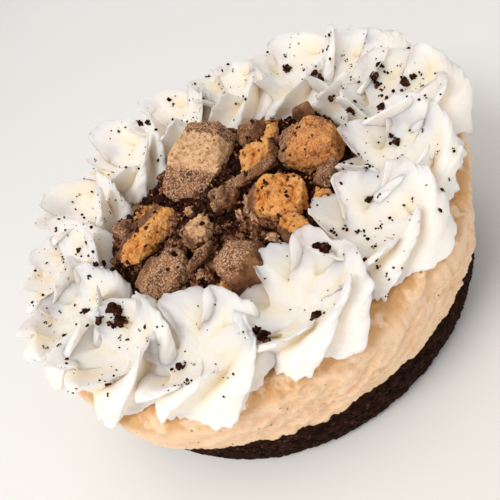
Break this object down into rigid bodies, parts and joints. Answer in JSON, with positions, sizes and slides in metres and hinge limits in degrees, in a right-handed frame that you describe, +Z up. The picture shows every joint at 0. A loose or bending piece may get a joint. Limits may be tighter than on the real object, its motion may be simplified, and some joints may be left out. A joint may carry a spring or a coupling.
{
  "type": "chocolate peanut butter pie",
  "caption": "Small round peanut butter mousse pie on a dark crumb base, with a ring of piped cream round a heap of cookie crumbs and chopped chocolate sweets.",
  "frame": {"origin": "middle of the flat underside of the crumb base", "axes": "+Z up out of the pie, -Y towards the front of the pictured view"},
  "size_m": [0.1085, 0.1082, 0.0467],
  "materials": {
    "dark_crumb": "matte",
    "mousse": "satin",
    "whipped_cream": "satin",
    "cookie_crumb": "matte",
    "sweet_chocolate": "satin",
    "sweet_peanut": "matte"
  },
  "bodies": {
    "root": {"cream_dollop_01": "whipped_cream", "cream_dollop_02": "whipped_cream", "cream_dollop_03": "whipped_cream", "cream_dollop_04": "whipped_cream", "cream_dollop_05": "whipped_cream", "cream_dollop_06": "whipped_cream", "cream_dollop_07": "whipped_cream", "cream_dollop_08": "whipped_cream", "cream_dollop_09": "whipped_cream", "cream_dollop_10": "whipped_cream", "cream_dollop_11": "whipped_cream", "cream_dollop_12": "whipped_cream", "cream_dollop_13": "whipped_cream", "cream_dollop_14": "whipped_cream", "crumb_base": "dark_crumb", "crumb_heap": "cookie_crumb", "mousse_layer": "mousse", "sweet_bit_front": "sweet_chocolate", "sweet_bit_left": "sweet_chocolate", "sweet_bit_right": "sweet_chocolate", "sweet_block_front": "sweet_chocolate", "sweet_brown_middle": "sweet_chocolate", "sweet_chip_right": "sweet_chocolate", "sweet_clump_middle": "sweet_chocolate", "sweet_dusted": "sweet_chocolate", "sweet_flake_back": "sweet_chocolate", "sweet_flake_front": "sweet_chocolate", "sweet_layered_left": "sweet_peanut", "sweet_nutty_back": "sweet_peanut", "sweet_nutty_front": "sweet_peanut", "sweet_nutty_right": "sweet_peanut", "sweet_nutty_small": "sweet_peanut", "sweet_shard_right": "sweet_chocolate", "sweet_slab_left": "sweet_chocolate", "sweet_triangle": "sweet_chocolate", "sweet_wedge_front": "sweet_chocolate"}
  },
  "joints": []
}
